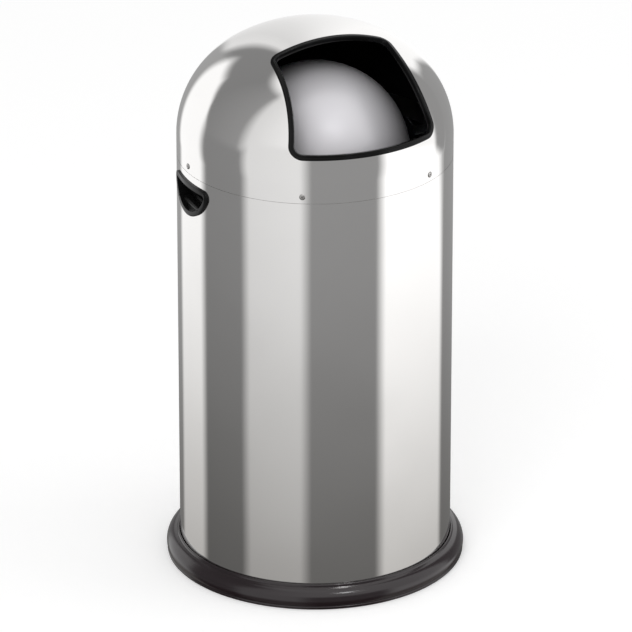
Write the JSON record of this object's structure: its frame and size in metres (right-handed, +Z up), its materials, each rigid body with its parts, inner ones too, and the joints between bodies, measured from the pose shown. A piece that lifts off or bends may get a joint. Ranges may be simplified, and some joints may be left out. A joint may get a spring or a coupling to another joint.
{
  "type": "dome top waste receptacle",
  "caption": "Free-standing round waste bin of polished steel: domed top with a self-closing ball flap behind its mouth, lift-off casing, lift-out liner and black base ring",
  "frame": {"origin": "on the floor, in the middle of the base ring", "axes": "+Z up along the body's axis; the mouth faces -Y; the flap turns about X and the two side grips are at -X and +X"},
  "size_m": [0.4, 0.4, 0.75],
  "materials": {
    "polished_steel": "stainless sheet, bright polish",
    "plain_steel": "stainless, mill finish",
    "galvanised_steel": "zinc coated sheet and wire, dull",
    "base_plastic": "moulded, satin, brownish black",
    "black_plastic": "moulded, fine satin, black",
    "white_nylon": "natural nylon"
  },
  "bodies": {
    "base": {"base_ring": "base_plastic", "base_plate": "galvanised_steel", "base_screws": "galvanised_steel", "centring_blocks": "base_plastic"},
    "liner": {"liner_wall": "galvanised_steel", "liner_floor": "galvanised_steel", "liner_ears": "galvanised_steel", "ear_rivets": "galvanised_steel"},
    "handle_front": {"liner_handle_front": "galvanised_steel"},
    "handle_back": {"liner_handle_back": "galvanised_steel"},
    "casing": {"body_shell": "polished_steel", "bottom_hoop": "plain_steel", "joint_band": "plain_steel", "dome_shell": "polished_steel", "inner_hood": "black_plastic", "seam_rivets": "plain_steel", "mouth_trim": "black_plastic", "grip_left": "black_plastic", "grip_right": "black_plastic", "grip_retainer_left": "black_plastic", "grip_retainer_right": "black_plastic", "pivot_bracket_left": "galvanised_steel", "pivot_bracket_right": "galvanised_steel", "pivot_bush_left": "white_nylon", "pivot_bush_right": "white_nylon", "stop_pins": "galvanised_steel"},
    "flap": {"flap_shell": "polished_steel", "flap_hub_left": "black_plastic", "flap_hub_right": "black_plastic", "flap_axle_left": "galvanised_steel", "flap_axle_right": "galvanised_steel", "axle_clips": "galvanised_steel", "weight_arm_left": "galvanised_steel", "weight_arm_right": "galvanised_steel", "counterweight": "galvanised_steel", "weight_screws": "galvanised_steel"}
  },
  "joints": [
    {"name": "liner_lift", "type": "slide", "parent": "base", "child": "liner", "axis": [0, 0, 1], "range_m": [0, 0.12]},
    {"name": "handle_front_swing", "type": "hinge", "parent": "liner", "child": "handle_front", "pos_m": [0, -0.15324, 0.444], "axis": [1, 0, 0], "range_deg": [0, 160]},
    {"name": "handle_back_swing", "type": "hinge", "parent": "liner", "child": "handle_back", "pos_m": [0, 0.15324, 0.444], "axis": [-1, 0, 0], "range_deg": [0, 160]},
    {"name": "casing_lift", "type": "slide", "parent": "liner", "child": "casing", "axis": [0, 0, 1], "range_m": [0, 0.46]},
    {"name": "flap_swing", "type": "hinge", "parent": "casing", "child": "flap", "pos_m": [0, 0, 0.567], "axis": [1, 0, 0], "range_deg": [-50, 50]}
  ]
}
